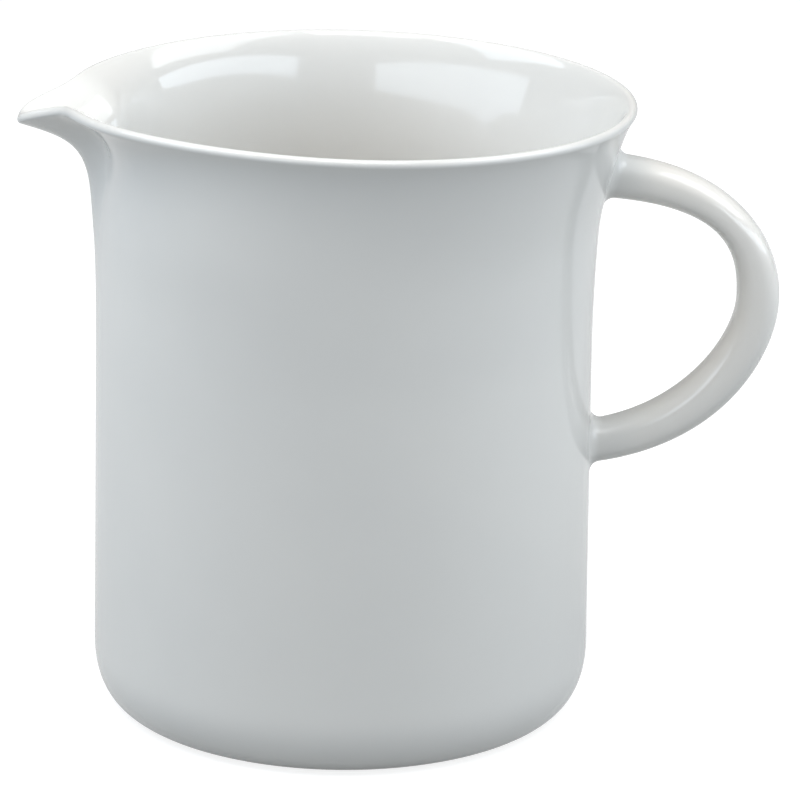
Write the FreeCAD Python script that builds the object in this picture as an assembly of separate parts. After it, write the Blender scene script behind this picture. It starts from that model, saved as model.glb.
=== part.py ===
import FreeCAD, Part
import math
import os

# Porcelain milk jug: a near-cylindrical body with a rounded base, a flared rim that is
# drawn out into a small drooping spout, and a loop handle.  One slip-cast piece, one solid.
# Frame: +Z up, foot on Z = 0, body axis on Z, spout towards -X, handle towards +X.

# ---------------------------------------------------------------- driving sizes (mm, degrees)
body_radius = 45.0          # outside, at mid_height
mid_height = 60.0
wall_draft = 0.009          # the wall closes in by this much per mm going up
rim_height = 113.0          # centre line of the lip above the foot, on the axis
wall_thickness = 3.0
floor_thickness = 4.2

foot_inset = 6.1            # the rounded base meets the table this far inside the wall
base_round = 10.8           # height of the rounded base
base_fullness = 2.2         # 2 is an ellipse, more is squarer
foot_width = 5.5            # flat unglazed ring
recess_depth = 1.3          # hollow inside the foot ring

lip_overhang = 3.6          # centre line of the lip outside the wall, away from the spout
lip_thickness = 1.8         # full round
lip_lean = 38.3             # lean of the wall at the lip, from vertical
lip_set_back = 2.3          # the rim sits this much towards the handle
lip_rise = 0.021            # the rim climbs towards the spout, per mm
flare_height = 44.0         # where the wall starts to open, below the rim
flare_low = 0.08            # how long the wall keeps its own line, share of the flare
flare_high = 6.7            # how far below the lip the wall already has its lean

shoulder_reach = 2.6        # the rim swells towards the spout on both sides
shoulder_dip = 1.0          # and falls there before it rises into the spout
shoulder_angle = 16.4       # from the spout's middle to the middle of that swelling
shoulder_half_angle = 32.1
spout_reach = 7.3           # how far the rim is pulled out
spout_drop = 4.56           # how far the tip falls below the rim
spout_half_angle = 5.73     # of the pulled part, seen from above
spout_taper = 2.06          # 1 is a pointed plan, 2 a bell
drop_taper = 1.32
tip_round = 2.6             # rounding of the very tip, degrees of arc
throat_half_angle = 37.2    # how far round the wall follows the spout's steeper section
throat_low = 0.88
throat_high = 13.5
throat_lean = 74.1

grip_reach = 29.65          # centre line of the handle at its outermost, from the wall
grip_drop = 36.0            # that point, below the rim
grip_bend = 9.9             # straight-ish length above and below it
top_root_drop = 13.5        # the top root, below the rim
top_root_fall = 0.8         # the top arm leaves the wall falling this much
top_arm = 24.0
low_root_drop = 63.9        # the lower root, below the rim
low_root_rise = 4.8
low_arm = 19.5
strap_width = 9.4
strap_top = 7.8             # thickness at the top root
strap_upper = 6.3           # half way along the top arm
strap_bend = 7.7            # at the outermost point
strap_lower = 8.1           # half way along the lower arm
strap_low = 7.3             # at the lower root
strap_squareness = 2.6      # 2 is an ellipse, more is squarer
root_fillet = 2.0

# what follows from them
lip_radius = body_radius + lip_overhang
foot_radius = body_radius - foot_inset
top_root_height = rim_height - top_root_drop
low_root_height = rim_height - low_root_drop

V = FreeCAD.Vector
UP = V(0, 0, 1)


# ---------------------------------------------------------------- shared curves
def wall_radius(z):
    """Outside radius of the plain wall at height z."""
    return body_radius - wall_draft * (z - mid_height)


def bezier(a, b, c, d, t):
    s = 1 - t
    return a * (s ** 3) + b * (3 * s * s * t) + c * (3 * s * t * t) + d * (t ** 3)


def pull(turn, power):
    """Share of the spout's pull at an angle 'turn' from its middle, with a rounded tip."""
    tip = math.radians(tip_round)
    u = math.hypot(turn, tip) - tip
    return math.exp(-(u / math.radians(spout_half_angle)) ** power)


def shoulder(turn):
    """Share of the swelling that leads into the spout from both sides."""
    middle, half = math.radians(shoulder_angle), math.radians(shoulder_half_angle)
    return sum(math.exp(-((turn + side * middle) / half) ** 2) for side in (-1, 1))


def set_back(z):
    """The rim's offset towards the handle, fading out down the flare."""
    span = 0.55 * flare_height
    g = min(max((z - rim_height + span) / span, 0.0), 1.0)
    return lip_set_back * g * g * (3 - 2 * g)


def radial(angle):
    return V(math.cos(angle), math.sin(angle), 0)


def lip_centre(angle):
    """Centre line of the lip, before the set-back."""
    turn = abs((angle % (2 * math.pi)) - math.pi)
    r = lip_radius + shoulder_reach * shoulder(turn) + spout_reach * pull(turn, spout_taper)
    z = rim_height - lip_rise * r * math.cos(angle)
    z -= shoulder_dip * shoulder(turn) + spout_drop * pull(turn, drop_taper)
    return radial(angle) * r + UP * z


def throat(angle):
    """1 in the middle of the spout, 0 away from it."""
    turn = abs((angle % (2 * math.pi)) - math.pi)
    return math.exp(-(turn / math.radians(throat_half_angle)) ** 2)


def mix(a, b, share):
    return a + (b - a) * share


def lip_frame(angle):
    """Lip centre, the wall's direction at the lip, and the lip's outward normal."""
    step = 1e-4
    along = lip_centre(angle + step) - lip_centre(angle - step)
    along.normalize()
    lean = math.radians(mix(lip_lean, throat_lean, throat(angle)))
    rise = radial(angle) * math.sin(lean) + UP * math.cos(lean)
    out = along.cross(rise)
    out.normalize()
    return lip_centre(angle), rise, out


def flare_point(angle, t, depth):
    """A point of the flare: t runs from the wall (0) to the lip (1); depth is 0 on the
    outside of the wall and 1 on the inside."""
    centre, rise, out = lip_frame(angle)
    start = rim_height - flare_height
    a = radial(angle) * (wall_radius(start) - depth * wall_thickness) + UP * start
    d = centre + out * (lip_thickness * (0.5 - depth))
    share = throat(angle)
    b = a + (UP - radial(angle) * wall_draft) * (mix(flare_low, throat_low, share) * (d.z - start))
    c = d - rise * mix(flare_high, throat_high, share)
    p = bezier(a, b, c, d, t)
    return p + V(set_back(p.z), 0, 0)


def lip_point(angle, t):
    """A point on the rounded lip: t runs from the outside (0) over the top to the inside (1)."""
    centre, rise, out = lip_frame(angle)
    top = rise - out * rise.dot(out)
    along = out.cross(top)
    top = along.cross(out)
    top.normalize()
    if top.z < 0:
        top = top * -1
    half = lip_thickness / 2
    p = centre + out * (half * math.cos(math.pi * t)) + top * (half * math.sin(math.pi * t))
    end = (centre + out * (half * (1 - 2 * t))).z
    return p + V(set_back(end), 0, 0)


# ---------------------------------------------------------------- body
def ring_angles():
    """Angles of a ring's points from the far side round, closer together at the spout."""
    angles, a = [], math.pi / 2
    while a < 2.5 * math.pi - 0.05:
        angles.append(a)
        turn = abs(a - math.pi)
        a += math.radians(min(2.2 + 16.0 * max(turn - 0.1, 0) ** 1.2, 10.0))
    return angles


ANGLES = ring_angles()
SPAN = [a - ANGLES[0] for a in ANGLES] + [2 * math.pi]


def ring(point):
    """Closed smooth wire through point(angle), in two halves: spout side, handle side."""
    curve = Part.BSplineCurve()
    curve.interpolate(Points=[point(a) for a in ANGLES], PeriodicFlag=True, Parameters=SPAN)
    return Part.Wire([curve.toShape(0, math.pi), curve.toShape(math.pi, 2 * math.pi)])


def circle_ring(r, z):
    return ring(lambda a: radial(a) * r + UP * z)


def corner_rings(foot, wall, low, high):
    """Rings of a rounded corner from radius foot at height low to radius wall at high."""
    rings = []
    for k in range(9):
        q = 0.5 * math.pi * k / 8
        r = foot + (wall - foot) * math.sin(q) ** (2 / base_fullness)
        z = high - (high - low) * math.cos(q) ** (2 / base_fullness)
        rings.append(circle_ring(r, z))
    return rings


def flare_rings(depth):
    return [ring(lambda a, t=k / 10: flare_point(a, t, depth)) for k in range(11)]


def skin(rings):
    return Part.makeLoft(rings, False, len(rings) == 2).Faces


def body():
    """The thrown form: outside, full-round lip and inside, joined into one closed skin."""
    outer_corner = corner_rings(foot_radius, wall_radius(base_round), 0, base_round)
    high = base_round + 0.3 * floor_thickness
    inner_corner = corner_rings(foot_radius - 1.2 * wall_thickness,
                                wall_radius(high) - wall_thickness, floor_thickness, high)
    outside, inside = flare_rings(0), flare_rings(1)
    over = [ring(lambda a, t=k / 8: lip_point(a, t)) for k in range(1, 8)]
    faces = skin(outer_corner) + skin([outer_corner[-1], outside[0]]) + skin(outside)
    faces += skin([outside[-1]] + over + [inside[-1]])
    faces += skin(inside) + skin([inside[0], inner_corner[-1]]) + skin(inner_corner)
    faces += [Part.Face(outer_corner[0]), Part.Face(inner_corner[0])]
    shell = Part.makeShell(faces)
    shell.sewShape()
    return Part.makeSolid(Part.Shell(shell.Faces))


def foot_recess():
    """The shallow hollow inside the unglazed foot ring, with a sloping shoulder."""
    r, d = foot_radius - foot_width, recess_depth
    return Part.makeCone(r + d, r - d, 2 * d, V(0, 0, -d))


# ---------------------------------------------------------------- handle
def grip_path():
    """Centre line of the handle: two smooth arms meeting upright at the outermost point."""
    out = V(body_radius + grip_reach, 0, rim_height - grip_drop)
    fall, rise = math.radians(top_root_fall), math.radians(low_root_rise)
    top_way = V(math.cos(fall), 0, -math.sin(fall))
    low_way = V(math.cos(rise), 0, math.sin(rise))
    top = V(body_radius, 0, top_root_height) - top_way * wall_thickness
    low = V(body_radius, 0, low_root_height) - low_way * wall_thickness
    upper = [top, top + top_way * (top_arm + wall_thickness), out + UP * grip_bend, out]
    lower = [out, out - UP * grip_bend, low + low_way * (low_arm + wall_thickness), low]
    return upper, lower


def strap_thickness(u):
    """Thickness along the handle: u is 0 at the top root, 1 at the bend, 2 at the lower root."""
    sizes = (strap_top, strap_upper, strap_bend, strap_lower, strap_low)
    k = min(int(2 * u), 3)
    t = 2 * u - k
    return mix(sizes[k], sizes[k + 1], t * t * (3 - 2 * t))


def strap_section(centre, along, thick, wide):
    """Rounded strap section across the direction 'along'."""
    across = V(0, 1, 0)
    normal = along.cross(across)
    normal.normalize()
    points = []
    for k in range(24):
        q = 2 * math.pi * k / 24
        c, s = math.cos(q), math.sin(q)
        x = math.copysign(abs(c) ** (2 / strap_squareness), c) * wide / 2
        y = math.copysign(abs(s) ** (2 / strap_squareness), s) * thick / 2
        points.append(centre + across * x + normal * y)
    curve = Part.BSplineCurve()
    curve.interpolate(Points=points, PeriodicFlag=True)
    return Part.Wire([curve.toShape()])


def grip():
    """The handle, from inside the wall at the top root to inside the wall at the lower one."""
    upper, lower = grip_path()
    count = 8
    sections = []
    for arm, (a, b, c, d) in enumerate((upper, lower)):
        for k in range(count + 1):
            if arm and k == 0:
                continue
            t = k / count
            p = bezier(a, b, c, d, t)
            way = bezier(a, b, c, d, min(t + 0.001, 1)) - bezier(a, b, c, d, max(t - 0.001, 0))
            way.normalize()
            sections.append(strap_section(p, way, strap_thickness(arm + t), strap_width))
    return Part.makeLoft(sections, True, False)


def mid_wall():
    """Plug that fills the body out to the middle of its wall, to trim the handle's ends."""
    zs = [low_root_height - 15, rim_height - flare_height]
    line = [V(wall_radius(z) - wall_thickness / 2, 0, z) for z in zs]
    line += [flare_point(0, t, 0.5) for t in (0.2, 0.4, 0.6, 0.8, 1.0)]
    curve = Part.BSplineCurve()
    curve.interpolate(Points=line)
    a, b = line[0], line[-1]
    wire = Part.Wire([
        Part.makeLine(V(0, 0, a.z), a), curve.toShape(),
        Part.makeLine(b, V(0, 0, b.z)), Part.makeLine(V(0, 0, b.z), V(0, 0, a.z))])
    return Part.Face(wire).revolve(V(0, 0, 0), UP, 360)


def root_edges(shape):
    """Edges where the handle meets the wall."""
    found = []
    for edge in shape.Edges:
        box = edge.BoundBox
        inside = abs(box.YMin) < strap_width and abs(box.YMax) < strap_width
        near = body_radius - 2 < box.XMin and box.XMax < body_radius + 9
        if inside and near and box.ZMin > low_root_height - 10 and box.ZMax < rim_height - 2:
            found.append(edge)
    return found


def jug():
    handle = grip().cut(mid_wall())
    whole = body().cut(foot_recess()).fuse(handle)
    edges = root_edges(whole)
    return whole.makeFillet(root_fillet, edges)


os.makedirs("parts", exist_ok=True)
jug().exportStep("parts/jug.step")
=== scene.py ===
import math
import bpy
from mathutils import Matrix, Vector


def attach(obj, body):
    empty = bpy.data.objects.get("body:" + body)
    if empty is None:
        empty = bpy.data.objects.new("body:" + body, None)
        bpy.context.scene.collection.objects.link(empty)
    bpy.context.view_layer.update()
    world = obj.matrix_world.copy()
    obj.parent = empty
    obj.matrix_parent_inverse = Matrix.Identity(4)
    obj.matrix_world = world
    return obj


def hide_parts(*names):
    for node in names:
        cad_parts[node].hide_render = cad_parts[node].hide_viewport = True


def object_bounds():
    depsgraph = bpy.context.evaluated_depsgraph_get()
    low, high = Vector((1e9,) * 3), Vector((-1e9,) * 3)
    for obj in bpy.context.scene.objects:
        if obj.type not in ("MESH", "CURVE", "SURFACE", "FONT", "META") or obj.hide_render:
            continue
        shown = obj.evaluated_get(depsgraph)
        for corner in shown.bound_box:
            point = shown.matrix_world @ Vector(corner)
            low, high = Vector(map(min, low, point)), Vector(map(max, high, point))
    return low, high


bl_info = {
    "name": "Porcelain Milk Jug",
    "version": (1, 0, 0),
    "blender": (4, 5, 0),
    "location": "3D View > Sidebar > Milk Jug",
    "description": "White glazed milk jug with a drawn spout and a loop handle, on a studio floor",
    "category": "Add Mesh",
}

import bmesh
import bpy
from bpy.props import FloatProperty, FloatVectorProperty, PointerProperty
from mathutils import Matrix, Vector

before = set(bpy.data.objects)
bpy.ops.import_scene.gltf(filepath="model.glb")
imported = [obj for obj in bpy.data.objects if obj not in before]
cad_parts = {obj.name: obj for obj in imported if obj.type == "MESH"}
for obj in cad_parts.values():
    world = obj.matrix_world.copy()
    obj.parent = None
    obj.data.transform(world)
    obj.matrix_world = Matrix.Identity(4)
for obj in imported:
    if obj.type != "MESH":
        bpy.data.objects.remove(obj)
CAD_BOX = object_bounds()

UP = Vector((0, 0, 1))
ACROSS = Vector((0, 1, 0))
MM = 0.001


# ---------------------------------------------------------------- settings
def length(name, description, mm):
    return FloatProperty(name=name, description=description, default=mm * MM,
                         subtype="DISTANCE", unit="LENGTH", precision=5)


def slant(name, description, degrees):
    return FloatProperty(name=name, description=description, default=math.radians(degrees),
                         subtype="ANGLE", unit="ROTATION")


def share(name, description, value):
    return FloatProperty(name=name, description=description, default=value, min=0.0)


def colour(name, description, value):
    return FloatVectorProperty(name=name, description=description, default=value,
                               subtype="COLOR", size=3, min=0.0, max=1.0)


def watts(name, description, power):
    return FloatProperty(name=name, description=description, default=power, min=0.0,
                         unit="POWER")


class BodySizes(bpy.types.PropertyGroup):
    """Sizes of the body, its flared rim and its spout."""
    body_radius: length("Body radius", "Outside of the wall at mid height", 45)
    mid_height: length("Mid height", "Where the body radius is measured", 60)
    wall_draft: share("Wall draft", "How much the wall closes in going up, per unit", 0.009)
    rim_height: length("Rim height", "Centre of the lip above the foot", 113)
    wall_thickness: length("Wall thickness", "Of the body below the flare", 3)
    floor_thickness: length("Floor thickness", "Of the bottom", 4.2)
    foot_inset: length("Foot inset", "The rounded base meets the table this far inside", 6.1)
    foot_width: length("Foot width", "Of the ring it stands on", 5.5)
    recess_depth: length("Recess depth", "Of the hollow inside the foot ring", 1.3)
    base_round: length("Base rounding", "Height of the rounded base", 10.8)
    base_fullness: share("Base fullness", "2 is an ellipse, more is squarer", 2.2)
    lip_overhang: length("Lip overhang", "Centre line of the lip outside the wall", 3.6)
    lip_thickness: length("Lip thickness", "Diameter of the rounded lip", 1.8)
    lip_lean: slant("Lip lean", "Lean of the wall at the lip", 38.3)
    lip_set_back: length("Lip set-back", "Offset of the rim towards the handle", 2.3)
    lip_rise: share("Lip rise", "Climb of the rim towards the spout, per unit", 0.021)
    flare_height: length("Flare height", "Where the wall starts to open, below the rim", 44)
    flare_low: share("Flare start", "Share of the flare that keeps the wall's line", 0.08)
    flare_high: length("Flare end", "Length below the lip that has the lip's lean", 6.7)
    shoulder_reach: length("Shoulder reach", "The rim swells towards the spout by this", 2.6)
    shoulder_dip: length("Shoulder dip", "The rim falls by this before the spout", 1)
    shoulder_angle: slant("Shoulder angle", "Middle of the swelling, from the spout", 16.4)
    shoulder_half_angle: slant("Shoulder half angle", "Half width of the swelling", 32.1)
    spout_reach: length("Spout reach", "How far the rim is pulled out", 7.3)
    spout_drop: length("Spout drop", "How far the tip falls below the rim", 4.56)
    spout_half_angle: slant("Spout half angle", "Half width of the pull from above", 5.73)
    spout_taper: share("Spout taper", "1 is pointed, 2 is bell-shaped", 2.06)
    drop_taper: share("Drop taper", "As the taper, for the fall of the rim", 1.32)
    tip_round: slant("Tip rounding", "Arc over which the tip is rounded", 2.6)
    throat_half_angle: slant("Throat half angle", "How far round the spout's section runs", 37.2)
    throat_low: share("Throat start", "As the flare's start, in the spout", 0.88)
    throat_high: length("Throat end", "As the flare's end, in the spout", 13.5)
    throat_lean: slant("Throat lean", "Lean of the wall in the spout", 74.1)


class HandleSizes(bpy.types.PropertyGroup):
    """Sizes of the loop handle and its roots."""
    grip_reach: length("Reach", "Centre line at its outermost, from the wall", 29.65)
    grip_drop: length("Drop", "That outermost point, below the rim", 36)
    grip_bend: length("Bend", "Straight length above and below it", 9.9)
    top_root_drop: length("Top root", "The top root, below the rim", 13.5)
    top_root_fall: slant("Top fall", "The top arm leaves the wall falling this much", 0.8)
    top_arm: length("Top arm", "Pull of the top arm's line", 24)
    low_root_drop: length("Lower root", "The lower root, below the rim", 63.9)
    low_root_rise: slant("Lower rise", "Rise of the lower arm towards the wall", 4.8)
    low_arm: length("Lower arm", "Pull of the lower arm's line", 19.5)
    strap_width: length("Strap width", "Across the handle", 9.4)
    strap_top: length("Top thickness", "Thickness at the top root", 7.8)
    strap_upper: length("Upper thickness", "Thickness half way along the top arm", 6.3)
    strap_bend: length("Bend thickness", "Thickness at the outermost point", 7.7)
    strap_lower: length("Lower arm thickness", "Thickness half way along the lower arm", 8.1)
    strap_low: length("Lower thickness", "Thickness at the lower root", 7.3)
    strap_squareness: share("Squareness", "2 is an ellipse, more is squarer", 2.6)
    root_fillet: length("Root fillet", "Radius where the handle meets the wall", 2)


class Finish(bpy.types.PropertyGroup):
    """Colours and surface of the glaze and the bare foot."""
    glaze: colour("Glaze", "White of the glaze", (0.72, 0.708, 0.68))
    deep_glaze: colour("Deep glaze", "Where the glaze lies a little thicker", (0.70, 0.69, 0.665))
    # painted light: a lighter, warmer colour for the handle, standing in for the light it catches
    painted_handle_light: colour("Painted handle light", "Lighter, warmer colour of the handle: painted light", (0.785, 0.76, 0.72))
    speck: colour("Speck", "Iron specks in the clay", (0.30, 0.28, 0.25))
    bisque: colour("Bisque", "Bare fired clay under the foot", (0.62, 0.59, 0.54))
    gloss: share("Glaze roughness", "Roughness of the glaze", 0.075)
    matt: share("Bisque roughness", "Roughness of the bare clay", 0.62)
    ripple: length("Ripple", "Height of the slow waves in the glaze", 0.018)
    peel: length("Peel", "Height of the fine unevenness in the glaze", 0.0012)


class Studio(bpy.types.PropertyGroup):
    """Floor, lamps and camera."""
    floor: colour("Floor", "Colour of the floor", (0.32, 0.32, 0.315))
    floor_glow: share("Floor glow", "What the floor adds for the eye, and in part in gloss", 0.82)
    ambient: share("Ambient", "Light from all round", 0.0)
    gloss_share: share("Share in gloss", "How much of the white surround gloss mirrors", 0.55)
    left_box: watts("Left box", "Power of the soft box on the left", 5.6)
    right_box: watts("Right box", "Power of the soft box on the right", 5.0)
    left_window: watts("Left window", "Power of the long low light on the left", 1.5)
    right_window: watts("Right window", "Power of the long low light on the right", 1.9)
    front_box: watts("Front box", "Power of the high box in front", 2.6)
    top_box: watts("Top box", "Power of the warm box high on the left", 2.2)
    cool: colour("Cool light", "Tint of the box and windows at the sides", (0.80, 0.90, 1.0))
    fresh: colour("Fresh light", "Tint of the box on the right", (0.92, 0.965, 1.0))
    warm: colour("Warm light", "Tint of the box high on the left", (1.0, 0.84, 0.66))
    plain: colour("Plain light", "Tint of the box in front", (1.0, 1.0, 1.0))
    camera_distance: length("Camera distance", "From the point looked at", 800)
    camera_rise: slant("Camera rise", "Elevation of the camera", 17.67)
    camera_roll: slant("Camera roll", "Roll of the camera", 0.913)
    look_x: length("Look-at X", "Point looked at, towards the handle", 10.31)
    look_z: length("Look-at Z", "Point looked at, above the floor", 56.3)
    view_width: length("View width", "Width seen at the point looked at", 145.7)


# ---------------------------------------------------------------- curves of the form
def mix(a, b, t):
    return a + (b - a) * t


def bezier(a, b, c, d, t):
    s = 1 - t
    return a * (s ** 3) + b * (3 * s * s * t) + c * (3 * s * t * t) + d * (t ** 3)


def radial(angle):
    return Vector((math.cos(angle), math.sin(angle), 0))


def turn_from_spout(angle):
    return abs((angle % (2 * math.pi)) - math.pi)


def root_of(function, low, high):
    """Where a rising function of one number crosses zero."""
    for _ in range(32):
        middle = (low + high) / 2
        if function(middle) < 0:
            low = middle
        else:
            high = middle
    return (low + high) / 2


SET_BACK_SHARE = 0.55   # share of the flare's height over which the rim moves back
INNER_ROUND_SHARE = 0.3     # the corner inside starts higher by this much of the floor
INNER_FOOT_SHARE = 1.2      # and further in by this many walls
NUDGE = 1e-3            # small moves that give a surface's direction
FINE_NUDGE = 1e-4


class Body:
    """Surface of the body, as points by angle round the axis and place along the section."""

    def __init__(self, sizes):
        self.s = sizes
        self.start = sizes.rim_height - sizes.flare_height
        self.foot_radius = sizes.body_radius - sizes.foot_inset
        self.lip_radius = sizes.body_radius + sizes.lip_overhang
        self.inner_round = sizes.base_round + INNER_ROUND_SHARE * sizes.floor_thickness
        self.inner_foot = self.foot_radius - INNER_FOOT_SHARE * sizes.wall_thickness

    def wall_radius(self, z):
        return self.s.body_radius - self.s.wall_draft * (z - self.s.mid_height)

    def pull(self, turn, power):
        u = math.hypot(turn, self.s.tip_round) - self.s.tip_round
        return math.exp(-(u / self.s.spout_half_angle) ** power)

    def shoulder(self, turn):
        """Share of the swelling that leads into the spout from both sides."""
        s = self.s
        return sum(math.exp(-((turn + side * s.shoulder_angle) / s.shoulder_half_angle) ** 2)
                   for side in (-1, 1))

    def set_back(self, z):
        span = SET_BACK_SHARE * self.s.flare_height
        g = min(max((z - self.s.rim_height + span) / span, 0.0), 1.0)
        return self.s.lip_set_back * g * g * (3 - 2 * g)

    def lip_centre(self, angle):
        s, turn = self.s, turn_from_spout(angle)
        r = self.lip_radius + s.shoulder_reach * self.shoulder(turn)
        r += s.spout_reach * self.pull(turn, s.spout_taper)
        z = s.rim_height - s.lip_rise * r * math.cos(angle)
        z -= s.shoulder_dip * self.shoulder(turn) + s.spout_drop * self.pull(turn, s.drop_taper)
        return radial(angle) * r + UP * z

    def throat(self, angle):
        """1 in the middle of the spout, 0 away from it."""
        return math.exp(-(turn_from_spout(angle) / self.s.throat_half_angle) ** 2)

    def lip_frame(self, angle):
        ahead, behind = self.lip_centre(angle + FINE_NUDGE), self.lip_centre(angle - FINE_NUDGE)
        along = (ahead - behind).normalized()
        lean = mix(self.s.lip_lean, self.s.throat_lean, self.throat(angle))
        rise = radial(angle) * math.sin(lean) + UP * math.cos(lean)
        return self.lip_centre(angle), rise, along.cross(rise).normalized()

    def flare(self, angle, t, depth):
        """t runs from the wall (0) to the lip (1); depth is 0 outside and 1 inside."""
        s, throat = self.s, self.throat(angle)
        centre, rise, out = self.lip_frame(angle)
        a = radial(angle) * (self.wall_radius(self.start) - depth * s.wall_thickness)
        a += UP * self.start
        d = centre + out * (s.lip_thickness * (0.5 - depth))
        low = mix(s.flare_low, s.throat_low, throat) * (d.z - self.start)
        b = a + (UP - radial(angle) * s.wall_draft) * low
        c = d - rise * mix(s.flare_high, s.throat_high, throat)
        p = bezier(a, b, c, d, t)
        return p + Vector((self.set_back(p.z), 0, 0))

    def lip(self, angle, t):
        """Half round, from the outside (0) over the top to the inside (1)."""
        centre, rise, out = self.lip_frame(angle)
        top = (rise - out * rise.dot(out)).normalized()
        top = out.cross(top).cross(out).normalized()
        if top.z < 0:
            top.negate()
        half = self.s.lip_thickness / 2
        p = centre + out * (half * math.cos(math.pi * t)) + top * (half * math.sin(math.pi * t))
        end = (centre + out * (half * (1 - 2 * t))).z
        return p + Vector((self.set_back(end), 0, 0))

    def circle(self, angle, r, z):
        return radial(angle) * r + UP * z

    def corner(self, angle, q, inside):
        """Rounded base: q runs from the foot (0) to the wall (1)."""
        s = self.s
        high = self.inner_round if inside else s.base_round
        low = s.floor_thickness if inside else 0
        foot = self.inner_foot if inside else self.foot_radius
        wall = self.wall_radius(high) - (s.wall_thickness if inside else 0)
        q *= 0.5 * math.pi
        r = foot + (wall - foot) * math.sin(q) ** (2 / s.base_fullness)
        z = high - (high - low) * max(math.cos(q), 0.0) ** (2 / s.base_fullness)
        return self.circle(angle, r, z)

    def outside(self, angle, place):
        """The outer wall: place is 0 to 1 on the plain wall and 1 to 2 on the flare."""
        if place > 1:
            return self.flare(angle, place - 1, 0)
        z = mix(self.s.base_round, self.start, place)
        return self.circle(angle, self.wall_radius(z), z)

    def place_at(self, angle, z):
        return root_of(lambda place: self.outside(angle, place).z - z, 0.0, 2.0)

    def locate(self, point):
        """Angle and place of the spot on the outer wall at a point's height and bearing."""
        angle = math.atan2(point.y, point.x - self.set_back(point.z))
        return angle, self.place_at(angle, point.z)

    def clearance(self, point):
        """Distance outwards from the outer wall."""
        angle, place = self.locate(point)
        back = Vector((self.set_back(point.z), 0, 0))
        spot = self.outside(angle, place)
        return (point - back).xy.length - (spot - back).xy.length

    def normal(self, angle, place):
        along = self.outside(angle + NUDGE, place) - self.outside(angle - NUDGE, place)
        up = self.outside(angle, place + NUDGE) - self.outside(angle, place - NUDGE)
        return along.cross(up).normalized()


class Handle:
    """Surface of the handle: u runs along it from the top root (0) to the lower one (2)."""

    def __init__(self, sizes, body_sizes):
        self.s = s = sizes
        wall, deep = body_sizes.body_radius, body_sizes.wall_thickness
        rim = body_sizes.rim_height
        self.top_root, self.low_root = rim - s.top_root_drop, rim - s.low_root_drop
        out = Vector((wall + s.grip_reach, 0, rim - s.grip_drop))
        top_way = Vector((math.cos(s.top_root_fall), 0, -math.sin(s.top_root_fall)))
        low_way = Vector((math.cos(s.low_root_rise), 0, math.sin(s.low_root_rise)))
        top = Vector((wall, 0, self.top_root)) - top_way * deep
        low = Vector((wall, 0, self.low_root)) - low_way * deep
        self.upper = (top, top + top_way * (s.top_arm + deep), out + UP * s.grip_bend, out)
        self.lower = (out, out - UP * s.grip_bend, low + low_way * (s.low_arm + deep), low)

    def centre(self, u):
        return bezier(*self.upper, u) if u <= 1 else bezier(*self.lower, u - 1)

    def thickness(self, u):
        s = self.s
        sizes = (s.strap_top, s.strap_upper, s.strap_bend, s.strap_lower, s.strap_low)
        k = min(max(int(2 * u), 0), 3)
        t = 2 * u - k
        return mix(sizes[k], sizes[k + 1], t * t * (3 - 2 * t))

    def point(self, u, q):
        """q is the bearing round the strap's section."""
        s = self.s
        way = (self.centre(min(u + NUDGE, 2)) - self.centre(max(u - NUDGE, 0))).normalized()
        face = way.cross(ACROSS).normalized()
        thick = self.thickness(u)
        power = 2 / s.strap_squareness
        c, d = math.cos(q), math.sin(q)
        x = math.copysign(abs(c) ** power, c) * s.strap_width / 2
        y = math.copysign(abs(d) ** power, d) * thick / 2
        return self.centre(u) + ACROSS * x + face * y

    def normal(self, u, q):
        along = self.point(min(u + NUDGE, 2), q) - self.point(max(u - NUDGE, 0), q)
        around = self.point(u, q + NUDGE) - self.point(u, q - NUDGE)
        return around.cross(along).normalized()


# ---------------------------------------------------------------- mesh of the jug
AROUND = 48             # points round the handle, and round each hole in the wall for it
HALF = AROUND // 8      # grid cells from a hole's middle to its side
HANDLE_STEP = math.radians(2.5)     # between columns of the grid at the handle
SPOUT_STEP = math.radians(0.55)     # and at the spout
STEP_GROWTH = 0.03      # how fast the columns open up away from the spout
EVEN_ARC = math.radians(60)         # to both sides of the handle the columns stay even
RAMP_SHARE = 0.45       # half width of the slope into the foot's hollow, in hollow depths

# rows of the grid, from the middle of the underside over the lip to the middle of the floor
HOLLOW_ROWS, RAMP_ROWS, RING_ROWS, CORNER_ROWS = 8, 10, 4, 18
WALL_ROWS, FLARE_ROWS, LIP_ROWS = 39, 30, 14
INNER_FLARE_ROWS, INNER_WALL_ROWS, FLOOR_ROWS = 32, 30, 12
# rows of each root and of the strap between them
SKIRT_ROWS, FILLET_ROWS, STRAP_ROWS = 6, 8, 84


def column_angles():
    """Bearings of the grid's columns, even at the handle and closer at the spout."""
    angles = [0.0]
    while angles[-1] < math.pi:
        left = math.pi - angles[-1]
        angles.append(angles[-1] + min(HANDLE_STEP, SPOUT_STEP + STEP_GROWTH * left))
    even = int(EVEN_ARC / HANDLE_STEP)
    kept = angles[even]
    stretch = (math.pi - kept) / (angles[-1] - kept)
    angles = angles[:even] + [kept + (a - kept) * stretch for a in angles[even:]]
    return angles + [-a for a in angles[-2:0:-1]]


def steps(count, first=0):
    return [k / count for k in range(first, count + 1)]


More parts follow.
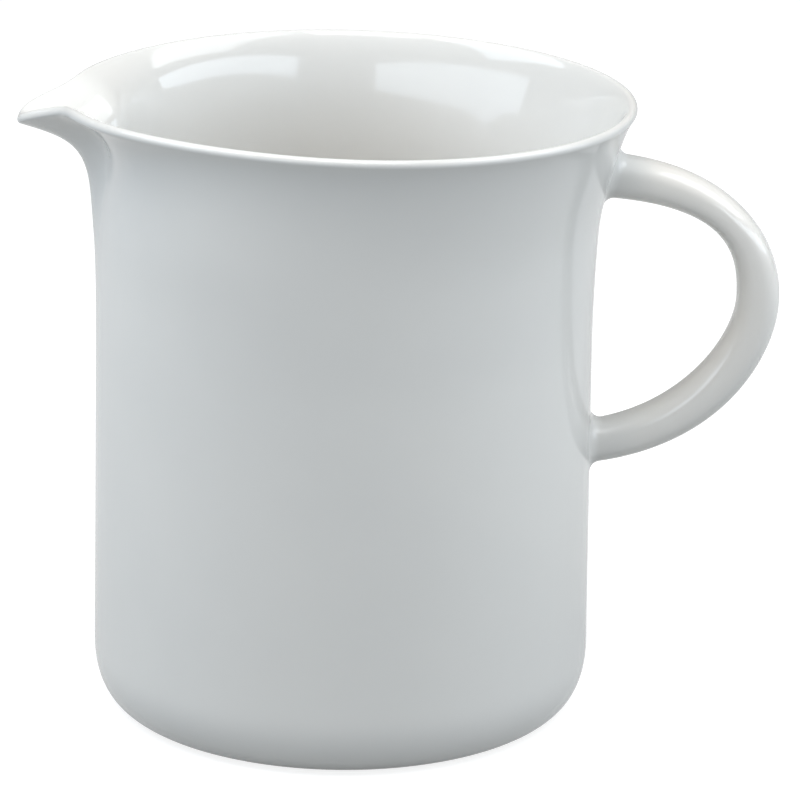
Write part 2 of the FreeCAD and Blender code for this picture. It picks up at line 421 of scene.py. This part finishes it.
class JugMesh:
    """Collects the grid of the body, the handle's tube and the two blended roots."""

    def __init__(self, body, handle):
        self.body, self.handle = body, handle
        self.angles = column_angles()
        self.points, self.faces = [], []

    def add(self, points):
        first = len(self.points)
        self.points.extend(points)
        return list(range(first, len(self.points)))

    def band(self, one, other):
        """Quads between two closed rings of the same count."""
        n = len(one)
        for k in range(n):
            m = (k + 1) % n
            self.faces.append((one[k], one[m], other[m], other[k]))

    def fan(self, ring, tip):
        index = self.add([tip])[0]
        n = len(ring)
        self.faces += [(ring[k], ring[(k + 1) % n], index) for k in range(n)]

    def section(self):
        """The body's section as functions of the angle, from under the foot, over the lip,
        to the floor inside; and the places of the rows on the outer wall."""
        body, s = self.body, self.body.s
        shoulder = body.foot_radius - s.foot_width
        soft = RAMP_SHARE * s.recess_depth
        inner, outer = shoulder - s.recess_depth - soft, shoulder + soft
        rows = [lambda a, t=t: body.circle(a, inner * t, s.recess_depth)
                for t in steps(HOLLOW_ROWS, 1)]
        for t in steps(RAMP_ROWS, 1):
            fall = 1 - t * t * (3 - 2 * t)
            rows.append(lambda a, t=t, f=fall: body.circle(a, mix(inner, outer, t),
                                                           s.recess_depth * f))
        rows += [lambda a, t=t: body.circle(a, mix(outer, body.foot_radius, t), 0)
                 for t in steps(RING_ROWS, 1)]
        rows += [lambda a, t=t: body.corner(a, t, False) for t in steps(CORNER_ROWS, 1)]
        first = len(rows) - 1
        places = steps(WALL_ROWS) + [1 + t for t in steps(FLARE_ROWS, 1)]
        rows += [lambda a, p=p: body.outside(a, p) for p in places[1:]]
        rows += [lambda a, t=t: body.lip(a, t) for t in steps(LIP_ROWS, 1)]
        rows += [lambda a, t=t: body.flare(a, 1 - t, 1) for t in steps(INNER_FLARE_ROWS, 1)]
        rows += [lambda a, z=mix(body.start, body.inner_round, t): body.circle(
            a, body.wall_radius(z) - s.wall_thickness, z) for t in steps(INNER_WALL_ROWS, 1)]
        rows += [lambda a, t=t: body.corner(a, 1 - t, True) for t in steps(CORNER_ROWS, 1)]
        rows += [lambda a, t=t: body.circle(a, body.inner_foot * (1 - t), s.floor_thickness)
                 for t in steps(FLOOR_ROWS, 1)[:-1]]
        return rows, first, places

    def build(self):
        rows, first, places = self.section()
        n = len(self.angles)
        grid = [self.add([row(a) for a in self.angles]) for row in rows]
        middles = []
        for root in (self.handle.top_root, self.handle.low_root):
            place = self.body.place_at(0.0, root)
            nearest = min(range(len(places)), key=lambda i: abs(places[i] - place))
            middles.append(first + nearest)
        open_cells = {(row, column % n) for middle in middles
                      for row in range(middle - HALF, middle + HALF)
                      for column in range(-HALF, HALF)}
        for i in range(len(grid) - 1):
            for k in range(n):
                if (i, k) not in open_cells:
                    m = (k + 1) % n
                    self.faces.append((grid[i][k], grid[i][m], grid[i + 1][m], grid[i + 1][k]))
        self.fan(grid[0], UP * self.body.s.recess_depth)
        self.fan(grid[-1], UP * self.body.s.floor_thickness)
        ends = []
        for middle, top in zip(middles, (True, False)):
            edge = self.hole_edge(middle, 1 if top else -1)
            hole = [grid[i][k % n] for i, k in edge]
            spots = [(self.angles[k % n] if k >= 0 else -self.angles[-k], places[i - first])
                     for i, k in edge]
            ends.append(self.root(hole, spots, top))
        self.tube(*ends)

    def hole_edge(self, middle, way):
        """Grid points round a hole, from the +Y side; way 1 goes up first, -1 down first."""
        h = HALF
        edge = [(i, h) for i in range(0, h)]
        edge += [(h, k) for k in range(h, -h, -1)]
        edge += [(i, -h) for i in range(h, -h, -1)]
        edge += [(-h, k) for k in range(-h, h)]
        edge += [(i, h) for i in range(-h, 0)]
        return [(middle + way * i, k) for i, k in edge]

    def bearing(self, k):
        return 2 * math.pi * k / AROUND

    def root(self, hole, spots, top):
        """The wall round one root and the fillet up to the strap.  Returns the last ring and
        how far along the handle each of its points lies."""
        body, handle = self.body, self.handle
        fillet = handle.s.root_fillet
        arcs, toes, reached = [], [], []
        for k in range(AROUND):
            q = self.bearing(k)
            if top:
                cross = root_of(lambda u: body.clearance(handle.point(u, q)), 0.0, 0.5)
            else:
                cross = root_of(lambda v: body.clearance(handle.point(2 - v, q)), 0.0, 0.5)
                cross = 2 - cross
            corner = handle.point(cross, q)
            wall = body.normal(*body.locate(corner))
            side = handle.normal(cross, q)
            run = (side - wall * side.dot(wall)).normalized()
            climb = (wall - side * wall.dot(side)).normalized()
            opening = run.angle(climb)
            reach = fillet / math.tan(opening / 2)
            toe = corner + run * reach
            spot = body.locate(toe)
            toe = body.outside(*spot)
            pace = handle.point(cross + NUDGE, q) - handle.point(cross - NUDGE, q)
            pace = pace.length / (2 * NUDGE)
            u = cross + (reach if top else -reach) / pace
            head = handle.point(u, q)
            weight = math.sin(opening / 2)
            arcs.append((toe, corner, head, weight))
            toes.append(spot)
            reached.append(u)
        ring = hole
        for t in steps(SKIRT_ROWS, 1):
            points = []
            for (a, p), (b, r) in zip(spots, toes):
                points.append(body.outside(mix(a, b, t), mix(p, r, t)))
            new = self.add(points)
            self.band(ring, new)
            ring = new
        for t in steps(FILLET_ROWS, 1):
            points = []
            for toe, corner, head, weight in arcs:
                f, g, h = (1 - t) ** 2, 2 * t * (1 - t) * weight, t * t
                points.append((toe * f + corner * g + head * h) / (f + g + h))
            new = self.add(points)
            self.band(ring, new)
            ring = new
        return ring, reached

    def tube(self, top_end, low_end):
        """The strap between the two fillets."""
        (ring, top), (last, low) = top_end, low_end
        for t in steps(STRAP_ROWS, 1)[:-1]:
            new = self.add([self.handle.point(mix(top[k], low[k], t), self.bearing(k))
                            for k in range(AROUND)])
            self.band(ring, new)
            ring = new
        self.band(ring, last)

    def piece(self, name):
        """One closed, smooth-shaded object."""
        mesh = bpy.data.meshes.new(name)
        mesh.from_pydata([tuple(p) for p in self.points], [], self.faces)
        form = bmesh.new()
        form.from_mesh(mesh)
        bmesh.ops.delete(form, geom=[v for v in form.verts if not v.link_faces], context="VERTS")
        bmesh.ops.recalc_face_normals(form, faces=form.faces[:])
        for face in form.faces:
            face.smooth = True
        form.to_mesh(mesh)
        form.free()
        piece = bpy.data.objects.new(name, mesh)
        bpy.context.collection.objects.link(piece)
        return piece


# ---------------------------------------------------------------- materials
class Signal:
    """One socket of a material; arithmetic on it adds the Math nodes."""

    def __init__(self, nodes, socket):
        self.nodes, self.socket = nodes, socket

    def math(self, operation, *inputs):
        return self.nodes.add("ShaderNodeMath", {"operation": operation}, inputs)["Value"]

    def __add__(self, other):
        return self.math("ADD", self, other)

    def __sub__(self, other):
        return self.math("SUBTRACT", self, other)

    def __rsub__(self, other):
        return self.math("SUBTRACT", other, self)

    def __mul__(self, other):
        return self.math("MULTIPLY", self, other)

    def __truediv__(self, other):
        return self.math("DIVIDE", self, other)

    def __pow__(self, other):
        return self.math("POWER", self, other)

    __radd__, __rmul__ = __add__, __mul__


class Nodes:
    """Builds the node tree of one material or world."""

    def __init__(self, owner):
        owner.use_nodes = True
        self.tree = owner.node_tree
        self.tree.nodes.clear()

    def add(self, kind, settings=(), inputs=()):
        """Adds a node: settings first, then values or links of its sockets, by name or place.
        Returns its outputs by name."""
        node = self.tree.nodes.new(kind)
        for name, value in dict(settings).items():
            setattr(node, name, value)
        pairs = inputs.items() if isinstance(inputs, dict) else enumerate(inputs)
        for key, value in pairs:
            if isinstance(value, Signal):
                self.tree.links.new(value.socket, node.inputs[key])
            else:
                if not isinstance(value, (int, float)) and len(value) == 3:
                    needed = len(node.inputs[key].default_value)
                    value = tuple(value) + (1.0,) * (needed - 3)
                node.inputs[key].default_value = value
        return {out.name: Signal(self, out) for out in node.outputs if out.enabled}

    def step(self, value, low, high):
        """0 below low, 1 above high, smooth between; low may be the larger one."""
        return self.add("ShaderNodeMapRange", {"interpolation_type": "SMOOTHSTEP"},
                        {"Value": value, "From Min": low, "From Max": high})["Result"]

    def noise(self, place, scale, detail=2.0, roughness=0.5):
        return self.add("ShaderNodeTexNoise", {}, {
            "Vector": place, "Scale": scale, "Detail": detail, "Roughness": roughness})["Fac"]

    def blend(self, factor, one, other):
        return self.add("ShaderNodeMix", {"data_type": "RGBA"}, {0: factor, 6: one, 7: other})[
            "Result"]


# how fine each pattern is, in waves per metre
FOOT_EDGE_SCALE, SPECK_SCALE, DEPTH_SCALE, GRAIN_SCALE = 350.0, 85.0, 28.0, 2600.0
POLISH_SCALE, RIPPLE_SCALE, PEEL_SCALE = 60.0, 75.0, 900.0

FOOT_WAVER = 1.2 * MM       # how far the glaze's edge on the foot wanders
FOOT_MARGIN = 0.7 * MM      # how far the glaze runs onto the ring
FOOT_EDGE = 0.15 * MM       # half softness of that edge
BARE_LOW, BARE_HIGH = 0.2 * MM, 0.5 * MM        # the bare clay ends between these heights
PAINTED_LIGHT_START, PAINTED_LIGHT_END = 2 * MM, 12 * MM          # painted light: the handle's lighter, warmer colour, standing in for the light it catches, sets in this far off the wall
SPECK_PICK = (0.80, 0.82)   # the cells above this have a speck
SPECK_SIZE, SPECK_SPREAD = 0.007, 0.012         # of a cell
SPECK_STRENGTH = 0.55
GRIT_STRENGTH = 0.35        # of the dark grains in the bare clay
POLISH_SPREAD = 0.03        # unevenness of the glaze's roughness
TOOTH = 0.05 * MM           # height of the bare clay's grain
GLAZE_IOR = 1.5


def porcelain(finish, sizes):
    """Glazed porcelain with a bare foot ring, a few iron specks, a softly uneven glaze and painted
    light on the handle, which is coloured lighter and warmer.
    """
    material = bpy.data.materials.new("glazed porcelain")
    n = Nodes(material)
    place = n.add("ShaderNodeTexCoord")["Object"]
    x, y, z = n.add("ShaderNodeSeparateXYZ", {}, {"Vector": place}).values()
    from_axis = (x * x + y * y) ** 0.5

    waver = (n.noise(place, FOOT_EDGE_SCALE) - 0.5) * FOOT_WAVER
    ring = sizes.body_radius - sizes.foot_inset - 0.5 * sizes.foot_width
    half = 0.5 * sizes.foot_width - FOOT_MARGIN
    off_ring = from_axis - ring + waver
    off_ring = off_ring.math("ABSOLUTE", off_ring)
    bare = n.step(off_ring, half + FOOT_EDGE, half - FOOT_EDGE)
    bare = bare * n.step(z, BARE_HIGH, BARE_LOW)

    cells = n.add("ShaderNodeTexVoronoi", {"feature": "F1"},
                  {"Vector": place, "Scale": SPECK_SCALE})
    seed = n.add("ShaderNodeSeparateColor", {}, {"Color": cells["Color"]})
    chosen = n.step(seed["Red"], *SPECK_PICK)
    size = SPECK_SIZE + SPECK_SPREAD * seed["Green"]
    specks = n.step(cells["Distance"] / size, 1.0, 0.5) * chosen * SPECK_STRENGTH

    depth = n.noise(place, DEPTH_SCALE, 3.0)
    body = n.blend(n.step(depth, 0.35, 0.7), finish.glaze, finish.deep_glaze)
    # painted light: past the wall the handle is coloured lighter and warmer than the body,
    # standing in for the light it catches
    painted_handle_mask = n.step(x, sizes.body_radius + PAINTED_LIGHT_START, sizes.body_radius + PAINTED_LIGHT_END)
    body = n.blend(painted_handle_mask, body, finish.painted_handle_light)
    body = n.blend(specks, body, finish.speck)
    grain = n.noise(place, GRAIN_SCALE, 3.0, 0.7)
    clay = n.blend(n.step(grain, 0.3, 0.8) * GRIT_STRENGTH, finish.bisque, finish.speck)
    skin_colour = n.blend(bare, body, clay)

    uneven = n.step(n.noise(place, POLISH_SCALE, 4.0), 0.4, 0.75)
    polish = finish.gloss + POLISH_SPREAD * uneven
    roughness = polish * (1 - bare) + finish.matt * bare

    waves = n.noise(place, RIPPLE_SCALE, 1.0) * finish.ripple
    peel = n.noise(place, PEEL_SCALE) * finish.peel
    tooth = grain * bare * TOOTH
    bump = n.add("ShaderNodeBump", {}, {"Strength": 1.0, "Distance": 1.0,
                                        "Height": (waves + peel) * (1 - bare) + tooth})["Normal"]
    shader = n.add("ShaderNodeBsdfPrincipled", {}, {
        "Base Color": skin_colour, "Roughness": roughness, "Normal": bump,
        "IOR": GLAZE_IOR, "Metallic": 0.0})["BSDF"]
    n.add("ShaderNodeOutputMaterial", {}, {"Surface": shader})
    return material


def surround_seen(n, gloss_share):
    """1 for what the eye and glass see of the surround, a share of it for gloss, else 0."""
    ray = n.add("ShaderNodeLightPath")
    seen = ray["Is Camera Ray"] + ray["Is Glossy Ray"] * gloss_share
    seen = seen + ray["Is Transmission Ray"]
    return seen.math("MINIMUM", seen, 1.0)


def floor_material(studio):
    """Pale matt floor that keeps the shadow; the eye, gloss and glass see it lighter."""
    material = bpy.data.materials.new("studio floor")
    n = Nodes(material)
    matt = n.add("ShaderNodeBsdfDiffuse", {}, {"Color": studio.floor})["BSDF"]
    seen = surround_seen(n, studio.gloss_share)
    glow = n.add("ShaderNodeEmission", {}, {"Strength": seen * studio.floor_glow})["Emission"]
    both = n.add("ShaderNodeAddShader", {}, (matt, glow))["Shader"]
    n.add("ShaderNodeOutputMaterial", {}, {"Surface": both})
    return material


# ---------------------------------------------------------------- operators
class MILKJUG_OT_jug(bpy.types.Operator):
    """Makes the jug in one piece: body, spout and handle"""
    bl_idname = "milkjug.make_jug"
    bl_label = "Make the jug"
    bl_options = {"REGISTER", "UNDO"}

    def execute(self, context):
        sizes, grip = context.scene.milkjug_body, context.scene.milkjug_handle
        body = Body(sizes)
        handle = Handle(grip, sizes)
        form = JugMesh(body, handle)
        form.build()
        piece = form.piece("milk_jug")
        piece.data.materials.append(porcelain(context.scene.milkjug_finish, sizes))
        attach(piece, "root")
        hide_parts("jug")
        return {"FINISHED"}


BODY_AIM = 0.6          # the boxes aim at this share of the jug's height, the windows at its top
BOX_DISTANCE, WINDOW_DISTANCE = 0.9, 0.64
# power setting, tint setting, bearing, rise, width, height
BOXES = (("left_box", "cool", -85, 46, 0.7, 0.6),
         ("right_box", "fresh", 85, 48, 0.7, 0.6),
         ("front_box", "plain", 0, 66, 0.5, 0.3),
         ("top_box", "warm", -70, 72, 0.5, 0.5))
WINDOWS = (("left_window", "cool", -46, 12, 1.0, 0.15),
           ("right_window", "cool", 68, 12, 1.0, 0.15))
FLOOR_REACH = 30        # the floor runs this many lengths of the jug each way
SENSOR_WIDTH = 36.0
NEAREST, FURTHEST = 0.01, 50.0      # what the camera sees


def seen_from(aim, bearing, rise, distance):
    """A place at a bearing from the front, plus to the right, and a rise above the level."""
    turn, tip = math.radians(bearing), math.radians(rise)
    out = Vector((math.sin(turn), -math.cos(turn), 0))
    return aim + (out * math.cos(tip) + UP * math.sin(tip)) * distance


def lamp(name, place, aim, width, height, power, tint):
    """A soft rectangular lamp at a place, aimed at a point."""
    light = bpy.data.lights.new(name, "AREA")
    light.shape = "RECTANGLE"
    light.size, light.size_y = width, height
    light.energy = power
    light.color = tint
    thing = bpy.data.objects.new(name, light)
    thing.location = place
    thing.rotation_euler = (aim - place).to_track_quat("-Z", "Y").to_euler()
    thing.visible_camera = False
    bpy.context.collection.objects.link(thing)
    return thing


class MILKJUG_OT_stage(bpy.types.Operator):
    """Makes the floor, the lamps and the camera"""
    bl_idname = "milkjug.make_stage"
    bl_label = "Make the studio"
    bl_options = {"REGISTER", "UNDO"}

    def execute(self, context):
        studio = context.scene.milkjug_studio
        scene = context.scene
        low, high = (Vector(c) for c in CAD_BOX)

        span = FLOOR_REACH * (high.x - low.x)
        mesh = bpy.data.meshes.new("floor")
        mesh.from_pydata([(-span, -span, low.z), (span, -span, low.z),
                          (span, span, low.z), (-span, span, low.z)], [], [(0, 1, 2, 3)])
        floor = bpy.data.objects.new("floor", mesh)
        bpy.context.collection.objects.link(floor)
        mesh.materials.append(floor_material(studio))

        for rows, height, distance in ((BOXES, BODY_AIM * high.z, BOX_DISTANCE),
                                       (WINDOWS, high.z, WINDOW_DISTANCE)):
            aim = Vector((0, 0, height))
            for power, tint, bearing, rise, wide, tall in rows:
                lamp(power.replace("_", " "), seen_from(aim, bearing, rise, distance), aim,
                     wide, tall, getattr(studio, power), getattr(studio, tint))

        world = bpy.data.worlds.new("studio air")
        n = Nodes(world)
        seen = surround_seen(n, studio.gloss_share)
        level = studio.ambient + (1.0 - studio.ambient) * seen
        air = n.add("ShaderNodeBackground", {}, {"Strength": level})["Background"]
        n.add("ShaderNodeOutputWorld", {}, {"Surface": air})
        scene.world = world

        camera = bpy.data.cameras.new("camera")
        camera.sensor_width = SENSOR_WIDTH
        camera.lens = camera.sensor_width * studio.camera_distance / studio.view_width
        camera.clip_start, camera.clip_end = NEAREST, FURTHEST
        eye = bpy.data.objects.new("camera", camera)
        look = Vector((studio.look_x, 0, studio.look_z))
        back = Vector((0, -math.cos(studio.camera_rise), math.sin(studio.camera_rise)))
        eye.location = look + back * studio.camera_distance
        turn = Matrix.Rotation(math.pi / 2 - studio.camera_rise, 3, "X")
        eye.rotation_euler = (turn @ Matrix.Rotation(studio.camera_roll, 3, "Z")).to_euler()
        bpy.context.collection.objects.link(eye)
        scene.camera = eye
        scene.view_settings.view_transform = "Standard"
        return {"FINISHED"}


class MILKJUG_PT_panel(bpy.types.Panel):
    """Sizes, finish and studio of the milk jug"""
    bl_idname = "MILKJUG_PT_panel"
    bl_label = "Milk Jug"
    bl_space_type = "VIEW_3D"
    bl_region_type = "UI"
    bl_category = "Milk Jug"

    def draw(self, context):
        layout = self.layout
        groups = (("milkjug_body", "Body"), ("milkjug_handle", "Handle"),
                  ("milkjug_finish", "Finish"), ("milkjug_studio", "Studio"))
        for attribute, title in groups:
            box = layout.box()
            box.label(text=title)
            group = getattr(context.scene, attribute)
            for name in group.__annotations__:
                box.prop(group, name)
        for operator in (MILKJUG_OT_jug, MILKJUG_OT_stage):
            layout.operator(operator.bl_idname)


CLASSES = (BodySizes, HandleSizes, Finish, Studio, MILKJUG_OT_jug, MILKJUG_OT_stage,
           MILKJUG_PT_panel)
GROUPS = {"milkjug_body": BodySizes, "milkjug_handle": HandleSizes,
          "milkjug_finish": Finish, "milkjug_studio": Studio}


def register():
    for cls in CLASSES:
        bpy.utils.register_class(cls)
    for name, group in GROUPS.items():
        setattr(bpy.types.Scene, name, PointerProperty(type=group))


def unregister():
    for name in GROUPS:
        delattr(bpy.types.Scene, name)
    for cls in reversed(CLASSES):
        bpy.utils.unregister_class(cls)


def main():
    register()
    bpy.ops.milkjug.make_jug()
    bpy.ops.milkjug.make_stage()


if __name__ == "__main__":
    main()
